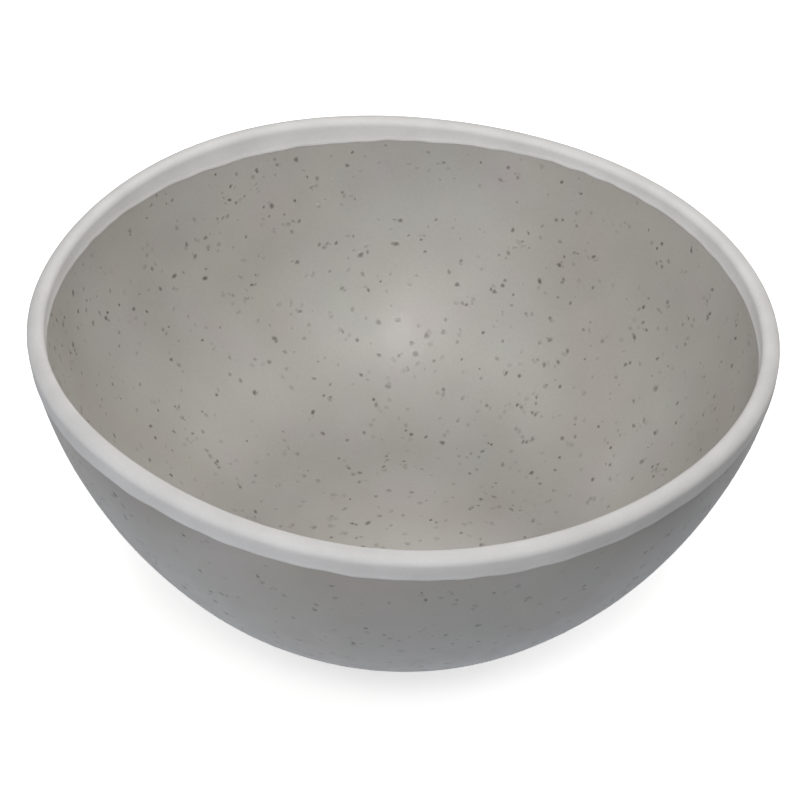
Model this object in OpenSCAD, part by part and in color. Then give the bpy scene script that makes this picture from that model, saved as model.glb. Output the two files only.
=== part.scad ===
// A deep round stoneware serving bowl: clay, foot ring and three coats of glaze.
// Millimetres, +Z up. The origin is the middle of the resting face, under the bowl.

/* [Bowl] */
// Diameter over the lip
bowl_d = 254; // [200:1:320]
// Height from the resting face to the top of the lip
bowl_h = 111; // [80:1:150]
// Wall thickness at the lip, glaze on both sides included
wall_t = 5.6; // [4:0.1:9]
// Thickness of the floor, glaze on the inside included
floor_t = 8; // [5:0.1:12]
// Radius of the flat part of the floor, inside
floor_r = 44; // [30:1:46]

/* [Wall curve] */
// Fullness of the lower wall: 1 is a cone, larger is rounder
low_round = 1.6; // [1.2:0.05:2.5]
// Fullness of the upper wall: larger stands up straighter below the lip
high_round = 1.55; // [1.3:0.05:2.5]

/* [Lip] */
// Height of the rounded top of the lip
lip_h = 2.4; // [1.5:0.1:3.5]
// Flatness of the top of the lip: 2 is round, larger is flatter
lip_flat = 2.4; // [2:0.1:4]
// Roundness of the lip's outer edge: 1 leaves a line above the wall, larger rounds it away
lip_edge = 1.1; // [1:0.1:2.4]

/* [Glaze] */
// Thickness of every glaze coat
glaze_t = 0.5; // [0.4:0.05:0.8]
// How far the pale glaze reaches down the outside, from the top of the lip
band_out = 8; // [4:0.5:20]
// How far the pale glaze reaches down the inside, from the top of the lip
band_in = 8; // [4:0.5:20]

/* [Foot] */
// Outer radius of the foot ring
foot_r = 50; // [46:1:60]
// Height of the foot ring below the outside glaze
foot_h = 3; // [2:0.5:6]
// Width of the foot ring
foot_w = 6; // [5:0.5:10]
// Bevel on the two lower edges of the foot ring
foot_bevel = 0.8; // [0.4:0.1:1.5]

/* [Hidden] */
$fn = 120;

outer_r = bowl_d / 2;
inner_r = outer_r - wall_t;
shoulder_z = bowl_h - lip_h;          // the walls stand upright here and the lip begins
under_z = foot_h + glaze_t;           // underside of the clay floor
floor_z = foot_h + floor_t;           // top of the glazed floor
wall_steps = 30;                      // straight bands along each wall curve
lip_steps = 12;                       // straight bands over the lip

clay_colour = [0.78, 0.73, 0.66];
grey_colour = [0.58, 0.57, 0.54];
pale_colour = [0.80, 0.79, 0.78];

// A point of the wall curve, at angle a from the shoulder (0) to the level bottom (90).
function wall_point(a, top_r, bottom_r, bottom_z) = [
    bottom_r + (top_r - bottom_r) * pow(cos(a), 2 / low_round),
    shoulder_z - (shoulder_z - bottom_z) * pow(sin(a), 2 / high_round)
];

// The outside and the inside of the wall, both set back by inset into the clay.
function outside_point(a, inset) = wall_point(a, outer_r - inset, foot_r, foot_h + inset);
function inside_point(a, inset) = wall_point(a, inner_r + inset, floor_r, floor_z - inset);

// A point of the lip, from the outside (0) over the top (90) to the inside (180).
function lip_point(a, inset) = [
    (outer_r + inner_r) / 2
        + sign(cos(a)) * (wall_t / 2 - inset) * pow(abs(cos(a)), 2 / lip_flat),
    shoulder_z + (lip_h - inset) * pow(sin(a), 2 / (a < 90 ? lip_edge : lip_flat))
];

// The wall angle where the curve has dropped to depth below the top of the lip.
function angle_at(depth, bottom_z) =
    asin(pow((depth - lip_h) / (shoulder_z - bottom_z), high_round / 2));

function steps_between(from, to, n) = [for (i = [0 : n]) from + (to - from) * i / n];

function outside_curve(from, to, inset, n = wall_steps) =
    [for (a = steps_between(from, to, n)) outside_point(a, inset)];
function inside_curve(from, to, inset, n = wall_steps) =
    [for (a = steps_between(from, to, n)) inside_point(a, inset)];
function lip_curve(inset) =
    [for (i = [1 : lip_steps - 1]) lip_point(180 * i / lip_steps, inset)];

out_edge = angle_at(band_out, foot_h);     // where the pale band ends on the outside
in_edge = angle_at(band_in, floor_z);      // where it ends on the inside
band_steps = 4;

// Both wall curves pass through the edges of the band, so the coats meet there exactly.
function whole_outside(inset) = concat(
    outside_curve(90, out_edge, inset),
    outside_curve(out_edge * (1 - 1 / band_steps), 0, inset, band_steps - 1));
function whole_inside(inset) = concat(
    inside_curve(0, in_edge * (1 - 1 / band_steps), inset, band_steps - 1),
    inside_curve(in_edge, 90, inset));
function band_skin(inset) = concat(
    outside_curve(out_edge, 0, inset, band_steps), lip_curve(inset),
    inside_curve(0, in_edge, inset, band_steps));

function reversed(points) = [for (i = [len(points) - 1 : -1 : 0]) points[i]];

module spin(outline) {
    rotate_extrude() polygon(outline);
}

module clay_body() {
    color(clay_colour) spin(concat(
        [[0, under_z]],
        whole_outside(glaze_t), lip_curve(glaze_t), whole_inside(glaze_t),
        [[0, floor_z - glaze_t]]));
}

module foot_ring() {
    inner = foot_r - foot_w;
    color(clay_colour) spin([
        [inner, under_z], [inner, foot_bevel], [inner + foot_bevel, 0],
        [foot_r - 2 * foot_bevel, 0], [foot_r - foot_bevel, foot_bevel], [foot_r, under_z]]);
}

module inside_glaze() {
    color(grey_colour) spin(concat(
        [[0, floor_z - glaze_t]],
        reversed(inside_curve(in_edge, 90, glaze_t)),
        inside_curve(in_edge, 90, 0),
        [[0, floor_z]]));
}

module outside_glaze() {
    color(grey_colour) spin(concat(
        outside_curve(90, out_edge, 0), reversed(outside_curve(90, out_edge, glaze_t))));
}

module rim_glaze() {
    color(pale_colour) spin(concat(band_skin(0), reversed(band_skin(glaze_t))));
}

clay_body();
foot_ring();
inside_glaze();
outside_glaze();
rim_glaze();
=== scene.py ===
import math
import random

import bmesh
import bpy
import numpy as np
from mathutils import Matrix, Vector, noise


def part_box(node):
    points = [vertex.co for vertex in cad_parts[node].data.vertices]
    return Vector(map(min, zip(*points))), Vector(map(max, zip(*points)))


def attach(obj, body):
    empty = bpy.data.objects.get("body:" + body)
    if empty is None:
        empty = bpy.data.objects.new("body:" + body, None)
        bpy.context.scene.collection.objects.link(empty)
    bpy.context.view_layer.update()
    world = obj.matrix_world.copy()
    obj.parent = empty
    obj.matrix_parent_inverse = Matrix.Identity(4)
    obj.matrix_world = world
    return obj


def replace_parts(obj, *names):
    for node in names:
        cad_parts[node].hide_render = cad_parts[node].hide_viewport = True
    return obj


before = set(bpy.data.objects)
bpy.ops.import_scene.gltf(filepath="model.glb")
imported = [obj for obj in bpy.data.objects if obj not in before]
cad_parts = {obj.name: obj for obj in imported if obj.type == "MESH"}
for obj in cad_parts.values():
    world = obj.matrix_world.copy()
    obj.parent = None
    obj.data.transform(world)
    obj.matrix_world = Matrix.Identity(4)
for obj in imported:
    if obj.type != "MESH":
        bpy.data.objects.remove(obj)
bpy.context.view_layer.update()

# ---------------------------------------------------------------- sizes, in metres
MM = 0.001
rim_low, rim_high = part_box("rim_glaze")
foot_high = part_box("foot_ring")[1]
RIM_R = rim_high.x                           # radius over the lip
TOP_Z = rim_high.z                           # top of the lip
BAND_DEPTH = TOP_Z - rim_low.z               # how far the pale band reaches down
FOOT_R = foot_high.x
UNDER_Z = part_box("outside_glaze")[0].z       # lowest point of the outside glaze
GLAZE_T = foot_high.z - UNDER_Z              # thickness of a coat
FLOOR_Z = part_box("inside_glaze")[0].z + GLAZE_T

# The section's other sizes, as part.scad has them.
WALL_T = 5.6 * MM
FLOOR_R = 44 * MM
LOW_ROUND = 1.6
HIGH_ROUND = 1.55
LIP_H = 2.4 * MM
LIP_FLAT = 2.4
LIP_EDGE = 1.1
FOOT_W = 6 * MM
FOOT_BEVEL = 0.8 * MM
SHOULDER_Z = TOP_Z - LIP_H

# The bowl is formed by hand: its rim is a little out of round and rises and falls. A wave is
# (how many round the rim, its height, the place of a crest in degrees from +X).
RADIUS_WAVES = [(2, 2.3 * MM, -48), (3, 0.7 * MM, -6)]
HEIGHT_WAVES = [(1, 1.6 * MM, -150), (2, 1.0 * MM, 35), (3, 1.4 * MM, -18), (4, 0.9 * MM, 41)]
# The pale glaze is dipped by hand, so the edges of the band rise and fall too.
BAND_IN_WAVES = [(1, 0.2 * MM, 129), (2, 0.5 * MM, -51), (3, 0.7 * MM, -4), (4, 0.25 * MM, 19)]
BAND_OUT_WAVES = [(1, 0.6 * MM, -151), (2, 0.4 * MM, 54), (3, 0.8 * MM, 60)]
BAND_IN_DEPTH = BAND_DEPTH - 0.1 * MM
BAND_OUT_DEPTH = BAND_DEPTH + 0.7 * MM
BAND_RAGGED, BAND_RAGS = 0.35 * MM, 14       # small steps in the edges of the band, and how many
BAND_PROUD = 0.22 * MM                       # the second coat lies on the first
BEAD_IN, BEAD_W, BEAD_RISE = 0.9 * MM, 0.6 * MM, 0.45    # the glaze is thicker just inside its edge
EDGE_ROUND, EDGE_SUNK = 0.5 * MM, 0.02 * MM  # the edge itself is rounded and lies in the coat below
UNDERLAP = 2 * MM                            # the grey coats run on under the band

# Painted shade on the grey glaze inside, from 0 to 1, set by the radius: floor, turn, wall and the
# edge of the band. It is darkest in a ring where the wall turns into the floor, and none on the wall.
SHADE_RADII, INSIDE_SHADE = [15 * MM, 52 * MM, 81 * MM, 116 * MM], [0.25, 1.0, 0.0, 0.6]
# Painted shade, even over the outside wall: it makes the outside grey darker than the inside wall.
OUTSIDE_SHADE = 0.55
# The pale coat runs off the lip: thin on the crest, and the crest also carries painted shade that
# darkens the top of the lip. Distance from its top, inwards, and thickness with that shade.
CREST_FROM_TOP, CREST_THIN_AND_SHADE = [-4 * MM, -1.2 * MM, 0, 3 * MM], [1.0, 0.05, 0.05, 1.0]

# Iron specks in the grey glaze: their radius, how dark they are (the higher the rarity, the fewer dark
# ones), how they gather, how many there are, and their section from the sunk edge inwards as (share of
# the radius, height, share of the darkness).
SPECK_R, SPECK_R_SPREAD, SPECK_R_LEAST, SPECK_R_MOST = 0.95 * MM, 0.22 * MM, 0.5 * MM, 1.45 * MM
SPECK_PALEST, SPECK_DARKEST, SPECK_RARITY = 0.17, 1.0, 2.6
SPECK_COMPANY, SPECK_GAP = 0.18, 1.5 * MM
INSIDE_SPECKS, OUTSIDE_SPECKS = 2050, 1100
SPECK_SIDES = 9
SPECK_RINGS = [(1.0, -0.035 * MM, 0.0), (0.93, 0.012 * MM, 0.15), (0.5, 0.035 * MM, 0.62)]
SPECK_TOP = 0.045 * MM

# The studio, in metres: a paper sweep, and lamps all the same distance away. The world's light is
# (height of the direction from -1 to 1, brightness): bounce from the paper right under the bowl, a
# bright ring, a dark zenith, and behind the bowl the bounce from the paper there.
SWEEP_R, SWEEP_TURN, SWEEP_H = 3.5, 1.0, 4.0
PAPER_Z = -0.1 * MM                          # clear of the foot's own face
PAPER_GLOW = 0.5
LAMP_AWAY = 3.0
WORLD_RING = [(-0.86, 0.70), (-0.74, 0.0), (0.36, 0.0), (0.44, 0.65), (0.78, 0.65), (0.86, 0.0)]
WORLD_BEHIND = [(-0.86, 0.0), (-0.74, 0.5), (-0.20, 0.5), (-0.08, 0.0)]
COOL, WARM = (0.96, 0.99, 1.05), (1.01, 0.995, 0.98)

# Soft dents of the hand-made wall: depth, width, and how far they stay clear of the lip and the foot.
DENT, DENT_SPAN = 0.25 * MM, 34 * MM
DENT_FROM_LIP, DENT_FROM_FOOT = 25 * MM, 20 * MM

# The bare clay: turning marks under the floor, and the uneven face of the foot ring.
MARK_PITCH, MARK_DEPTH = 2.3 * MM, 0.06 * MM
FOOT_WANDER = 0.10 * MM


# ---------------------------------------------------------------- the section of the bowl
def wall_point(a, top_r, bottom_r, bottom_z):
    """Radius and height on a wall curve, from the shoulder (angle 0) to the level bottom (90)."""
    r = bottom_r + (top_r - bottom_r) * np.clip(np.cos(a), 0, 1) ** (2 / LOW_ROUND)
    z = SHOULDER_Z - (SHOULDER_Z - bottom_z) * np.clip(np.sin(a), 0, 1) ** (2 / HIGH_ROUND)
    return r, z


def lip_point(a):
    """Radius and height on the lip, from the outside (angle 0) over the top to the inside (180)."""
    r = RIM_R - WALL_T / 2 * (1 - np.sign(np.cos(a)) * np.abs(np.cos(a)) ** (2 / LIP_FLAT))
    rise = np.clip(np.sin(a), 0, 1) ** (2 / np.where(a < math.pi / 2, LIP_EDGE, LIP_FLAT))
    return r, SHOULDER_Z + LIP_H * rise


def section_of_bowl(steps=2000):
    """The glazed section from the middle of the underside, up the outside, over the lip and down
    the inside to the middle of the floor: length along it, radius, height and outward normal."""
    quarter = np.linspace(0, math.pi / 2, steps)
    under = np.linspace(0, FOOT_R, steps // 2), np.full(steps // 2, UNDER_Z)
    outside = wall_point(quarter[::-1], RIM_R, FOOT_R, UNDER_Z)
    lip = lip_point(np.linspace(0, math.pi, steps // 2))
    inside = wall_point(quarter, RIM_R - WALL_T, FLOOR_R, FLOOR_Z)
    floor = np.linspace(FLOOR_R, 0, steps // 2), np.full(steps // 2, FLOOR_Z)
    parts = [under, outside, lip, inside, floor]
    r = np.concatenate([p[0] for p in parts])
    z = np.concatenate([p[1] for p in parts])
    keep = np.concatenate([[True], np.hypot(np.diff(r), np.diff(z)) > 1e-9])
    r, z = r[keep], z[keep]
    length = np.concatenate([[0], np.cumsum(np.hypot(np.diff(r), np.diff(z)))])
    even = np.linspace(0, length[-1], 4 * steps)
    r, z = np.interp(even, length, r), np.interp(even, length, z)
    dr, dz = np.gradient(r), np.gradient(z)
    size = np.hypot(dr, dz)
    return even, r, z, dz / size, -dr / size


LENGTH, SECTION_R, SECTION_Z, NORMAL_R, NORMAL_Z = section_of_bowl()
END = LENGTH[-1]                             # the middle of the floor, inside
LIP_TOP = LENGTH[np.argmax(SECTION_Z)]       # the top of the lip
GLAZE_START = LENGTH[np.searchsorted(SECTION_R, FOOT_R)]


def length_at(depth, side):
    """Length along the section where it is depth below the top of the lip, on side 'out' or 'in'."""
    out = LENGTH < LIP_TOP
    if side == "out":
        return np.interp(TOP_Z - depth, SECTION_Z[out], LENGTH[out])
    return np.interp(TOP_Z - depth, SECTION_Z[~out][::-1], LENGTH[~out][::-1])


# ---------------------------------------------------------------- the hand-made form
def waves(theta, terms):
    return sum(a * np.cos(n * (theta - math.radians(crest))) for n, a, crest in terms)


def surface(length, theta, lift=0.0):
    """Points at a length along the section and an angle round the bowl, lift above the glaze."""
    length, theta = np.broadcast_arrays(np.asarray(length, float), np.asarray(theta, float))
    r, z = np.interp(length, LENGTH, SECTION_R), np.interp(length, LENGTH, SECTION_Z)
    normal_r = np.interp(length, LENGTH, NORMAL_R)
    normal_z = np.interp(length, LENGTH, NORMAL_Z)
    # dents are deepest on the walls and fade out at the lip and the foot
    fade = np.clip(np.abs(length - LIP_TOP) / DENT_FROM_LIP, 0, 1)
    fade = fade * np.clip((length - GLAZE_START) / DENT_FROM_FOOT, 0, 1)
    # the outside and the inside have dents of their own, from two parts of the noise
    part = np.where(length < LIP_TOP, 5.0, 11.0)
    spots = np.stack([r * np.cos(theta), r * np.sin(theta), z], -1).reshape(-1, 3) / DENT_SPAN
    dents = [noise.noise(Vector(p) + Vector((s, -s, s))) for p, s in zip(spots, part.ravel())]
    rise = lift + DENT * fade * np.array(dents).reshape(r.shape)
    r, z = r + normal_r * rise, z + normal_z * rise
    height = np.clip((z - UNDER_Z) / (TOP_Z - UNDER_Z), 0, 1.2)
    middle = np.clip(r / FLOOR_R, 0, 1)
    share = height * middle * middle * (3 - 2 * middle)
    r = r + waves(theta, RADIUS_WAVES) * share
    z = z + waves(theta, HEIGHT_WAVES) * share
    return np.stack([r * np.cos(theta), r * np.sin(theta), z], -1)


def eased(value, places, heights):
    """Heights at the places, with soft slopes between them."""
    step = np.clip(np.searchsorted(places, value) - 1, 0, len(places) - 2)
    start, stop = np.take(places, step), np.take(places, step + 1)
    share = np.clip((value - start) / (stop - start), 0, 1)
    share = share * share * (3 - 2 * share)
    return np.take(heights, step) * (1 - share) + np.take(heights, step + 1) * share


def ragged(theta, seed):
    """A small uneven wander round the rim, from about -1 to 1."""
    spots = np.stack([np.cos(theta), np.sin(theta)], -1).reshape(-1, 2) * BAND_RAGS
    wander = [noise.noise(Vector((x, y, seed))) for x, y in spots]
    return np.array(wander).reshape(np.shape(theta)) * 1.6


def band_edge(theta, side):
    """Length along the section of the pale band's edge, at each angle."""
    if side == "out":
        depth = BAND_OUT_DEPTH + waves(theta, BAND_OUT_WAVES)
    else:
        depth = BAND_IN_DEPTH + waves(theta, BAND_IN_WAVES)
    depth = depth + BAND_RAGGED * ragged(theta, 3.0 if side == "out" else 8.0)
    return length_at(depth, side)


# ---------------------------------------------------------------- meshes
def ring_grid(rings, count):
    """Quads between rings of count vertices each."""
    return [
        (k * count + i, k * count + (i + 1) % count, (k + 1) * count + (i + 1) % count,
         (k + 1) * count + i)
        for k in range(rings - 1) for i in range(count)
    ]


def disc_grid(rings):
    """A disc of four-sided cells with no pole: each vertex's share of the radius and its angle,
    the quads, and the vertices round the edge in order."""
    side = 2 * rings + 1
    u, v = np.meshgrid(np.arange(side) / rings - 1, np.arange(side) / rings - 1)
    wide = np.abs(u) >= np.abs(v)
    safe_u, safe_v = np.where(u == 0, 1, u), np.where(v == 0, 1, v)
    share = np.maximum(np.abs(u), np.abs(v)).ravel()
    across = math.pi / 4 * v / safe_u + np.where(u < 0, math.pi, 0)
    along = math.pi / 2 - math.pi / 4 * u / safe_v + np.where(v < 0, math.pi, 0)
    theta = np.where(wide, across, along).ravel()
    quads = [
        (j * side + i, j * side + i + 1, (j + 1) * side + i + 1, (j + 1) * side + i)
        for j in range(side - 1) for i in range(side - 1)
    ]
    last = side - 1
    edge = list(range(last)) + [j * side + last for j in range(last)]
    edge += [last * side + i for i in range(last, 0, -1)]
    edge += [j * side for j in range(last, 0, -1)]
    return share, theta, quads, edge


def moved_on(faces, by):
    return [tuple(i + by for i in f) for f in faces]


def bridge(loop_a, loop_b):
    """Quads that join two edges with the same number of vertices."""
    count = len(loop_a)
    return [
        (loop_a[i], loop_a[(i + 1) % count], loop_b[(i + 1) % count], loop_b[i])
        for i in range(count)
    ]


def make_piece(name, points, faces, material):
    """A closed piece of the bowl from its points and faces."""
    mesh = bpy.data.meshes.new(name)
    mesh.from_pydata(np.asarray(points).reshape(-1, 3).tolist(), [], faces)
    form = bmesh.new()
    form.from_mesh(mesh)
    bmesh.ops.remove_doubles(form, verts=form.verts, dist=1e-7)
    bmesh.ops.recalc_face_normals(form, faces=form.faces)
    form.to_mesh(mesh)
    form.free()
    mesh.polygons.foreach_set("use_smooth", [True] * len(mesh.polygons))
    mesh.materials.append(material)
    piece = bpy.data.objects.new(name, mesh)
    bpy.context.scene.collection.objects.link(piece)
    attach(piece, "root")
    return piece


def painted(piece, name, values):
    """Puts a value on each vertex of a piece, for its material to read."""
    layer = piece.data.attributes.new(name, "FLOAT", "POINT")
    layer.data.foreach_set("value", np.ravel(values).astype(float))


def inside_shade_at(length):
    """Painted shade on the grey coat inside, from 0 to 1, at a length along the section."""
    return eased(np.interp(length, LENGTH, SECTION_R), SHADE_RADII, INSIDE_SHADE)


# ---------------------------------------------------------------- materials


def material_nodes(name):
    material = bpy.data.materials.new(name)
    material.use_nodes = True
    nodes, links = material.node_tree.nodes, material.node_tree.links
    place = nodes.new("ShaderNodeTexCoord").outputs["Object"]
    return material, nodes, links, nodes["Principled BSDF"], place


def noise_of(nodes, links, place, span, detail=3.0, rough=0.5):
    """A noise whose features are about span metres wide, from 0 to 1."""
    node = nodes.new("ShaderNodeTexNoise")
    node.inputs["Scale"].default_value = 1 / span
    node.inputs["Detail"].default_value = detail
    node.inputs["Roughness"].default_value = rough
    links.new(place, node.inputs["Vector"])
    return node.outputs["Fac"]


def ramp(nodes, links, value, stops):
    """A colour ramp over value; stops are (position, (r, g, b))."""
    node = nodes.new("ShaderNodeValToRGB")
    for _ in stops[2:]:
        node.color_ramp.elements.new(0.5)
    for element, (position, colour) in zip(node.color_ramp.elements, stops):
        element.position = position
        element.color = (*colour, 1)
    links.new(value, node.inputs["Fac"])
    return node.outputs["Color"]


def spread(nodes, links, value, low, high, from_low=0.3, from_high=0.7):
    """The value moved from one range into another, and kept inside it."""
    node = nodes.new("ShaderNodeMapRange")
    for key, number in zip(("From Min", "From Max", "To Min", "To Max"),
                           (from_low, from_high, low, high)):
        node.inputs[key].default_value = number
    links.new(value, node.inputs["Value"])
    return node.outputs["Result"]


def mixed(nodes, links, share, first, second, way="MIX"):
    """Two colours mixed by a share of the second; each can be a number, a colour or a socket."""
    node = nodes.new("ShaderNodeMix")
    node.data_type = "RGBA"
    node.blend_type = way
    for socket, value in zip((node.inputs["Factor"], node.inputs["A"], node.inputs["B"]),
                             (share, first, second)):
        if isinstance(value, (float, int)):
            socket.default_value = value
        elif isinstance(value, tuple):
            socket.default_value = (*value, 1)
        else:
            links.new(value, socket)
    return node.outputs["Result"]


def coat_and_shade_of(nodes):
    """The coat value painted on the piece, from 0 to 1: painted shade on the grey glaze, and on the
    pale glaze its thin crest with painted shade.
    """
    node = nodes.new("ShaderNodeAttribute")
    node.attribute_name = "coat"
    return node.outputs["Fac"]


def bumped(nodes, links, shader, heights):
    """Bumps one on another; heights are (value, height in metres)."""
    normal = None
    for value, height in heights:
        node = nodes.new("ShaderNodeBump")
        node.inputs["Strength"].default_value = 1.0
        node.inputs["Distance"].default_value = height
        links.new(value, node.inputs["Height"])
        if normal is not None:
            links.new(normal, node.inputs["Normal"])
        normal = node.outputs["Normal"]
    links.new(normal, shader.inputs["Normal"])


# The grey of the glaze, over its clouds from 0 to 1.
GREY = [(0.30, (0.407, 0.393, 0.366)), (0.52, (0.444, 0.428, 0.400)), (0.72, (0.472, 0.456, 0.428))]


def grey_colour(nodes, links, place):
    """The warm grey of the glaze, darker by the painted shade it is given, with soft clouds, fine
    grain and a hue that drifts between green and pink, and between warm and cool."""
    clouds = noise_of(nodes, links, place, 45 * MM, 2.5)
    colour = ramp(nodes, links, clouds, GREY)
    # painted shade: the grey is made up to 15 percent darker as the painted coat value rises to 1
    shaded_grey = mixed(nodes, links, 0.85, (0, 0, 0), colour)
    colour = mixed(nodes, links, coat_and_shade_of(nodes), colour, shaded_grey)
    grain = noise_of(nodes, links, place, 1.1 * MM, 4.0, 0.65)
    colour = mixed(nodes, links, 0.35, colour,
                   ramp(nodes, links, grain, [(0.3, (0.80, 0.80, 0.80)), (0.7, (1.0, 1.0, 1.0))]),
                   "MULTIPLY")
    for span, stops in ((20 * MM, [(0.30, (0.972, 1.0, 0.972)), (0.70, (1.0, 0.972, 1.0))]),
                        (50 * MM, [(0.35, (1.0, 0.985, 0.968)), (0.65, (0.972, 0.985, 1.0))])):
        hue = ramp(nodes, links, noise_of(nodes, links, place, span, 3.0), stops)
        colour = mixed(nodes, links, 1.0, colour, hue, "MULTIPLY")
    return colour


def grey_glaze():
    """Grey satin glaze with the smallest of the specks."""
    material, nodes, links, shader, place = material_nodes("grey_glaze")
    colour = grey_colour(nodes, links, place)
    # one dot in some of the cells, each with its own size
    cells = nodes.new("ShaderNodeTexVoronoi")
    cells.inputs["Scale"].default_value = 1 / (5.5 * MM)
    links.new(place, cells.inputs["Vector"])
    size = nodes.new("ShaderNodeSeparateColor")
    links.new(cells.outputs["Color"], size.inputs["Color"])
    reach = spread(nodes, links, size.outputs["Red"], -0.03, 0.062, 0.0, 1.0)
    inside = nodes.new("ShaderNodeMath")
    inside.operation = "SUBTRACT"
    links.new(reach, inside.inputs[0])
    links.new(cells.outputs["Distance"], inside.inputs[1])
    dust = spread(nodes, links, inside.outputs["Value"], 0.0, 0.5, -0.012, 0.020)
    colour = mixed(nodes, links, dust, colour, (0.14, 0.125, 0.105))
    links.new(colour, shader.inputs["Base Color"])
    links.new(spread(nodes, links, noise_of(nodes, links, place, 9 * MM), 0.28, 0.35),
              shader.inputs["Roughness"])
    bumped(nodes, links, shader, [
        (noise_of(nodes, links, place, 4 * MM, 1.5), 0.04 * MM),
        (noise_of(nodes, links, place, 0.9 * MM, 2.0), 0.008 * MM)])
    return material


def pale_glaze():
    """Off-white glaze, nearly matt and clouded. Where its coat is thin the grey shows through; on the
    crest that darkening is partly painted shade.
    """
    material, nodes, links, shader, place = material_nodes("pale_glaze")
    clouds = noise_of(nodes, links, place, 16 * MM, 3.0)
    colour = ramp(nodes, links, clouds, [
        (0.30, (0.615, 0.611, 0.607)), (0.50, (0.650, 0.646, 0.642)), (0.75, (0.685, 0.680, 0.676))])
    # thin glaze and painted shade: the crest is made up to a fifth darker where the coat value is low
    thin = mixed(nodes, links, 0.80, (0, 0, 0), colour)
    colour = mixed(nodes, links, coat_and_shade_of(nodes), thin, colour)
    grain = noise_of(nodes, links, place, 0.8 * MM, 4.0, 0.6)
    colour = mixed(nodes, links, 0.3, colour,
                   ramp(nodes, links, grain, [(0.3, (0.86, 0.86, 0.86)), (0.65, (1.0, 1.0, 1.0))]),
                   "MULTIPLY")
    links.new(colour, shader.inputs["Base Color"])
    links.new(spread(nodes, links, noise_of(nodes, links, place, 7 * MM), 0.55, 0.70),
              shader.inputs["Roughness"])
    shader.inputs["Specular IOR Level"].default_value = 0.25
    bumped(nodes, links, shader, [
        (noise_of(nodes, links, place, 3.5 * MM, 1.5), 0.05 * MM),
        (noise_of(nodes, links, place, 0.8 * MM, 2.0), 0.006 * MM)])
    return material


def bare_clay():
    """Unglazed stoneware: buff grey with grit and iron."""
    material, nodes, links, shader, place = material_nodes("bare_clay")
    clouds = noise_of(nodes, links, place, 12 * MM, 4.0)
    colour = ramp(nodes, links, clouds, [
        (0.25, (0.33, 0.285, 0.235)), (0.55, (0.41, 0.36, 0.30)), (0.8, (0.46, 0.41, 0.35))])
    grit = noise_of(nodes, links, place, 0.7 * MM, 2.0, 0.7)
    colour = mixed(nodes, links, ramp(nodes, links, grit, [
        (0.63, (0, 0, 0)), (0.70, (1, 1, 1))]), colour, (0.12, 0.09, 0.065))
    links.new(colour, shader.inputs["Base Color"])
    links.new(spread(nodes, links, grit, 0.78, 0.92), shader.inputs["Roughness"])
    bumped(nodes, links, shader, [
        (noise_of(nodes, links, place, 2.5 * MM, 3.0), 0.12 * MM),
        (grit, 0.06 * MM)])
    return material


def iron_speck():
    """Iron melted into the glaze: dark in the middle, the glaze's own grey at the edge."""
    material, nodes, links, shader, place = material_nodes("iron_speck")
    tone = nodes.new("ShaderNodeAttribute")
    tone.attribute_name = "iron"
    mottle = noise_of(nodes, links, place, 0.4 * MM, 2.0)
    dark = ramp(nodes, links, mottle, [
        (0.3, (0.045, 0.041, 0.036)), (0.7, (0.085, 0.076, 0.063))])
    colour = mixed(nodes, links, tone.outputs["Fac"], grey_colour(nodes, links, place), dark)
    links.new(colour, shader.inputs["Base Color"])
    links.new(spread(nodes, links, mottle, 0.30, 0.42), shader.inputs["Roughness"])
    return material


# ---------------------------------------------------------------- the pieces of the bowl
def inside_skin(material, rings=84):
    """The grey coat of the inside, from under the band to the middle of the floor."""
    share, theta, quads, edge = disc_grid(rings)
    start = band_edge(theta, "in") - UNDERLAP
    length = END - share * (END - start)
    top, back = surface(length, theta), surface(length, theta, -GLAZE_T)
    count = len(share)
    faces = quads + moved_on(quads, count) + bridge(edge, [i + count for i in edge])
    piece = make_piece("inside_glaze_coat", np.concatenate([top, back]), faces, material)
    # painted shade by the radius, for the grey glaze to read
    painted(piece, "coat", np.tile(inside_shade_at(length), 2))
    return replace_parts(piece, "inside_glaze")


def outside_skin(material, rings=76, count=560):
    """The grey coat of the outside, with a thin rounded edge round the foot."""
    theta = np.arange(count) / count * 2 * math.pi
    share = np.linspace(0, 1, rings)[:, None] ** 1.15
    stop = band_edge(theta, "out") + UNDERLAP
    length = GLAZE_START + share * (stop - GLAZE_START)
    thin = np.exp(-(length - GLAZE_START) / (0.7 * MM))
    top = surface(length, theta, -GLAZE_T * 0.85 * thin).reshape(-1, 3)
    back = surface(length, theta, -GLAZE_T).reshape(-1, 3)
    quads, total = ring_grid(rings, count), rings * count
    first, last = list(range(count)), list(range(total - count, total))
    faces = quads + moved_on(quads, total)
    faces += bridge(first, [i + total for i in first]) + bridge(last, [i + total for i in last])
    piece = make_piece("outside_glaze_coat", np.concatenate([top, back]), faces, material)
    # painted shade, even over the whole outside
    painted(piece, "coat", np.full(2 * total, OUTSIDE_SHADE))
    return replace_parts(piece, "outside_glaze")


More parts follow.
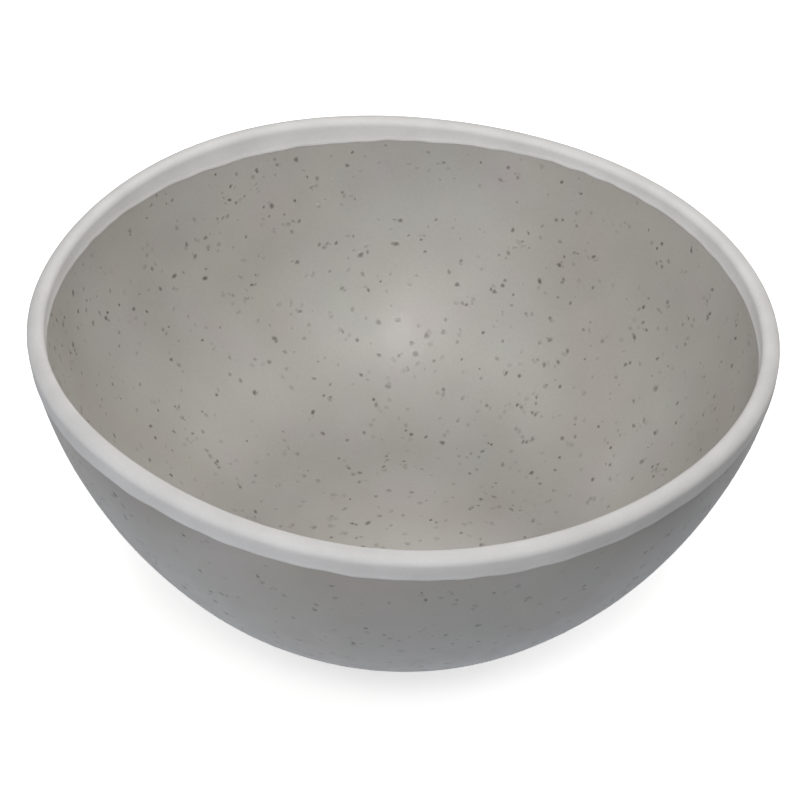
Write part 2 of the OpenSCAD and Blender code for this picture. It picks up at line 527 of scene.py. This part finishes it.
def rim_band(material, rings=34, count=900):
    """The pale second coat, over the lip, with its soft raised edges."""
    theta = np.arange(count) / count * 2 * math.pi
    low, high = band_edge(theta, "out"), band_edge(theta, "in")
    share = (1 - np.cos(np.linspace(0, math.pi, rings)))[:, None] / 2
    length = low + share * (high - low)
    edge = np.minimum(length - low, high - length)
    bead = 1 + BEAD_RISE * np.exp(-((edge - BEAD_IN) / BEAD_W) ** 2)
    rounding = np.sqrt(1 - np.clip(1 - edge / EDGE_ROUND, 0, 1) ** 2)
    top = surface(length, theta, BAND_PROUD * bead * rounding - EDGE_SUNK).reshape(-1, 3)
    back = surface(length, theta, -GLAZE_T).reshape(-1, 3)
    quads, total = ring_grid(rings, count), rings * count
    first, last = list(range(count)), list(range(total - count, total))
    faces = quads + moved_on(quads, total)
    faces += bridge(first, [i + total for i in first]) + bridge(last, [i + total for i in last])
    piece = make_piece("rim_glaze_coat", np.concatenate([top, back]), faces, material)
    # the crest's thin coat, with painted shade on the top of the lip
    coat = np.interp(length - LIP_TOP, CREST_FROM_TOP, CREST_THIN_AND_SHADE)
    painted(piece, "coat", np.tile(coat.ravel(), 2))
    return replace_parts(piece, "rim_glaze")


def clay(material, rings=64):
    """The fired clay: two discs that meet on the top of the lip. Its underside keeps turning marks."""
    share, theta, quads, edge = disc_grid(rings)
    inner = surface(END - share * (END - LIP_TOP), theta, -GLAZE_T)
    length = share * LIP_TOP
    marks = np.sin(length / MARK_PITCH * 2 * math.pi + theta) * MARK_DEPTH
    marks = np.where(length < GLAZE_START - FOOT_W, marks, 0)
    outer = surface(length, theta, -GLAZE_T + marks)
    faces = quads + moved_on(quads, len(share))
    piece = make_piece("clay_wall_and_floor", np.concatenate([inner, outer]), faces, material)
    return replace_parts(piece, "clay_body")


def foot(material, count=360):
    """The bare foot ring, rounded where it rests, with a slightly uneven tooled face."""
    into = 0.3 * MM
    inner = FOOT_R - FOOT_W
    turn = np.linspace(0, math.pi / 2, 6)
    outer_r = FOOT_R - FOOT_BEVEL
    section = [(inner, UNDER_Z + GLAZE_T + into)]
    section += [(inner + FOOT_BEVEL * (1 - math.cos(t)), FOOT_BEVEL * (1 - math.sin(t))) for t in turn]
    section += [(outer_r - FOOT_BEVEL * (1 - math.sin(t)), FOOT_BEVEL * (1 - math.cos(t)))
                for t in turn]
    section += [(FOOT_R, UNDER_Z + GLAZE_T + into)]
    fine = []
    for (r0, z0), (r1, z1) in zip(section, section[1:] + section[:1]):
        steps = max(1, round(math.hypot(r1 - r0, z1 - z0) / (0.6 * MM)))
        fine += [(r0 + (r1 - r0) * k / steps, z0 + (z1 - z0) * k / steps) for k in range(steps)]
    theta = np.arange(count) / count * 2 * math.pi
    points = []
    for r, z in fine:
        wander = [noise.noise(Vector((math.cos(t) * 9, math.sin(t) * 9, z / MM))) for t in theta]
        far = r + np.array(wander) * (FOOT_WANDER if z < UNDER_Z else 0)
        points.append(np.stack([far * np.cos(theta), far * np.sin(theta), np.full(count, z)], -1))
    rings = len(fine)
    faces = ring_grid(rings, count)
    faces += bridge(list(range((rings - 1) * count, rings * count)), list(range(count)))
    piece = make_piece("bare_foot_ring", np.concatenate(points), faces, material)
    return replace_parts(piece, "foot_ring")


def speck_places(low, high, count, seed):
    """Seeded places on the glaze, even over its area, now and then in twos and threes."""
    chance = random.Random(seed)
    widest = SECTION_R.max()
    lengths, thetas = [], []
    while len(lengths) < count:
        theta = chance.uniform(0, 2 * math.pi)
        length = chance.uniform(low(theta), high(theta))
        if chance.random() * widest > np.interp(length, LENGTH, SECTION_R):
            continue
        lengths.append(length)
        thetas.append(theta)
        while chance.random() < SPECK_COMPANY:
            lengths.append(length + chance.gauss(0, SPECK_GAP))
            thetas.append(theta + chance.gauss(0, SPECK_GAP) / widest)
    return np.array(lengths), np.array(thetas)


def specks(name, material, places, speck_shades, darkness, seed):
    """Iron specks: each is a low closed drop of its own outline, sunk into the glaze, whose glaze
    there carries the painted shade it is given."""
    chance = random.Random(seed)
    lengths, thetas = places
    step = 0.4 * MM
    centre = surface(lengths, thetas)
    along = surface(lengths + step, thetas) - centre
    across = surface(lengths, thetas + step / SECTION_R.max()) - centre
    along /= np.linalg.norm(along, axis=1)[:, None]
    normal = np.cross(across, along)
    normal /= np.linalg.norm(normal, axis=1)[:, None]
    across = np.cross(along, normal)
    points, faces, tones = [], [], []
    for middle, e1, e2, up in zip(centre, along, across, normal):
        radius = min(SPECK_R_MOST, max(SPECK_R_LEAST, chance.gauss(SPECK_R, SPECK_R_SPREAD)))
        darker = chance.random() ** SPECK_RARITY
        dark = darkness * (SPECK_PALEST + (SPECK_DARKEST - SPECK_PALEST) * darker)
        start = len(points)
        outline = [chance.uniform(0.75, 1.15) for _ in range(SPECK_SIDES)]
        stretch, turn = chance.uniform(1.0, 1.6) ** 0.5, chance.uniform(0, math.pi)
        for share, height, tone in SPECK_RINGS:
            for i, reach in enumerate(outline):
                a = 2 * math.pi * i / SPECK_SIDES
                x = math.cos(a) * stretch * reach * radius * share
                y = math.sin(a) / stretch * reach * radius * share
                u = x * math.cos(turn) - y * math.sin(turn)
                v = x * math.sin(turn) + y * math.cos(turn)
                points.append(middle + e1 * u + e2 * v + up * height)
                tones.append(tone * dark)
        points += [middle + up * SPECK_TOP, middle - up * GLAZE_T / 2]
        tones += [dark, 0.0]
        top = start + len(SPECK_RINGS) * SPECK_SIDES
        for i in range(SPECK_SIDES):
            j = (i + 1) % SPECK_SIDES
            for ring in range(start, top - SPECK_SIDES, SPECK_SIDES):
                faces.append((ring + i, ring + j, ring + SPECK_SIDES + j, ring + SPECK_SIDES + i))
            faces.append((top - SPECK_SIDES + i, top - SPECK_SIDES + j, top))
            faces.append((start + j, start + i, top + 1))
    piece = make_piece(name, np.array(points), faces, material)
    painted(piece, "iron", tones)
    painted(piece, "coat", np.repeat(speck_shades, len(points) // len(speck_shades)))
    return piece


def inside_specks(material):
    places = speck_places(lambda t: band_edge(np.array([t]), "in")[0] + SPECK_GAP, lambda t: END,
                          INSIDE_SPECKS, 21)
    # the specks take the painted shade of the grey around them
    specks("inside_specks", material, places, inside_shade_at(places[0]), 1.0, 5)


def outside_specks(material):
    places = speck_places(lambda t: GLAZE_START + SPECK_GAP,
                          lambda t: band_edge(np.array([t]), "out")[0] - SPECK_GAP,
                          OUTSIDE_SPECKS, 34)
    # the outside specks take the outside's even painted shade
    specks("outside_specks", material, places, np.full(len(places[0]), OUTSIDE_SHADE), 0.85, 6)


grey, pale = grey_glaze(), pale_glaze()
clay_look, iron_look = bare_clay(), iron_speck()
clay(clay_look)
foot(clay_look)
inside_skin(grey)
outside_skin(grey)
rim_band(pale)
inside_specks(iron_look)
outside_specks(iron_look)


# ---------------------------------------------------------------- floor, light and camera
def sweep_material():
    """Plain white paper that keeps a little of its brightness in the shadow under the bowl."""
    material, nodes, links, shader, place = material_nodes("studio_paper")
    shade = ramp(nodes, links, noise_of(nodes, links, place, 0.4), [
        (0.0, (0.89, 0.89, 0.89)), (1.0, (0.91, 0.91, 0.91))])
    links.new(shade, shader.inputs["Base Color"])
    shader.inputs["Roughness"].default_value = 0.9
    shader.inputs["Emission Color"].default_value = (1, 1, 1, 1)
    shader.inputs["Emission Strength"].default_value = PAPER_GLOW
    return material


def studio_sweep(count=64):
    """A round sheet of paper that turns up into a wall all round, well outside the lamps. It sends
    no light back to the bowl: the lower half of the world stands in for its bounce."""
    turn = np.linspace(0, math.pi / 2, 12)
    radius = [0.01, SWEEP_R / 2] + list(SWEEP_R + SWEEP_TURN * np.sin(turn)) + [SWEEP_R + SWEEP_TURN]
    height = [PAPER_Z, PAPER_Z] + list(PAPER_Z + SWEEP_TURN * (1 - np.cos(turn))) + [SWEEP_H]
    theta = np.arange(count) / count * 2 * math.pi
    points = [(r * math.cos(t), r * math.sin(t), z) for r, z in zip(radius, height) for t in theta]
    faces = [face[::-1] for face in ring_grid(len(radius), count)] + [tuple(range(count))]
    mesh = bpy.data.meshes.new("studio_sweep")
    mesh.from_pydata(points, [], faces)
    mesh.polygons.foreach_set("use_smooth", [True] * len(mesh.polygons))
    mesh.materials.append(sweep_material())
    sweep = bpy.data.objects.new("studio_sweep", mesh)
    sweep.visible_diffuse = False
    sweep.visible_glossy = False
    sweep.visible_shadow = False
    bpy.context.scene.collection.objects.link(sweep)


def softbox(name, azimuth, elevation, size, power, tint=WARM, mirrored=True):
    """A square soft light that faces the bowl. Azimuth 0 is on the viewer's side, 90 on the right.
    The glaze doesn't mirror the fill lights."""
    light = bpy.data.lights.new(name, "AREA")
    light.shape = "SQUARE"
    light.size = size
    light.energy = power
    light.color = tint
    lamp = bpy.data.objects.new(name, light)
    a, e = math.radians(azimuth), math.radians(elevation)
    away = Vector((math.sin(a) * math.cos(e), -math.cos(a) * math.cos(e), math.sin(e)))
    lamp.location = Vector((0, 0, TOP_Z / 2)) + away * LAMP_AWAY
    lamp.rotation_euler = (-away).to_track_quat("-Z", "Y").to_euler()
    lamp.visible_glossy = mirrored
    bpy.context.scene.collection.objects.link(lamp)


def studio_light():
    world = bpy.data.worlds.new("studio")
    bpy.context.scene.world = world
    world.use_nodes = True
    nodes, links = world.node_tree.nodes, world.node_tree.links
    way = nodes.new("ShaderNodeSeparateXYZ")
    links.new(nodes.new("ShaderNodeTexCoord").outputs["Generated"], way.inputs["Vector"])
    height = spread(nodes, links, way.outputs["Z"], 0.0, 1.0, -1.0, 1.0)
    ring, behind = [
        ramp(nodes, links, height, [
            ((z + 1) / 2, tuple(glow * t for t in (COOL if z < 0 else WARM))) for z, glow in light])
        for light in (WORLD_RING, WORLD_BEHIND)
    ]
    back = spread(nodes, links, way.outputs["Y"], 0.0, 1.0, 0.0, 0.4)
    links.new(mixed(nodes, links, back, ring, behind, "ADD"), nodes["Background"].inputs["Color"])
    softbox("key", 0, 51, 0.45, 7.8)
    softbox("key_left", 345, 46, 1.4, 14.7)
    softbox("key_right", 20, 48, 1.4, 6.3)
    softbox("left_glow", 300, 45, 2.2, 4.2)
    softbox("back_right", 135, 45, 2.4, 2.4)
    softbox("back", 180, 36, 0.8, 7.2)
    softbox("top_fill", 0, 86, 2.0, 31, mirrored=False)
    softbox("right_fill", 90, 45, 2.4, 9.9, mirrored=False)
    softbox("low_fill", 325, 12, 1.3, 29.7, COOL, mirrored=False)
    softbox("low_back_fill", 125, 12, 1.3, 22, mirrored=False)


def camera():
    """Looks down at the bowl over the near lip, from about three and a half bowl widths away."""
    elevation, distance = math.radians(35.7), 7 * RIM_R
    data = bpy.data.cameras.new("camera")
    data.sensor_width, data.lens = 36, 118
    data.dof.use_dof = False
    cam = bpy.data.objects.new("camera", data)
    cam.location = Vector((0, -math.cos(elevation) * distance, TOP_Z + math.sin(elevation) * distance))
    aim = Vector((0, 0, TOP_Z - 39 * MM))
    cam.rotation_euler = (aim - cam.location).to_track_quat("-Z", "Y").to_euler()
    bpy.context.scene.collection.objects.link(cam)
    bpy.context.scene.camera = cam


studio_sweep()
studio_light()
camera()
bpy.context.scene.view_settings.view_transform = "Standard"
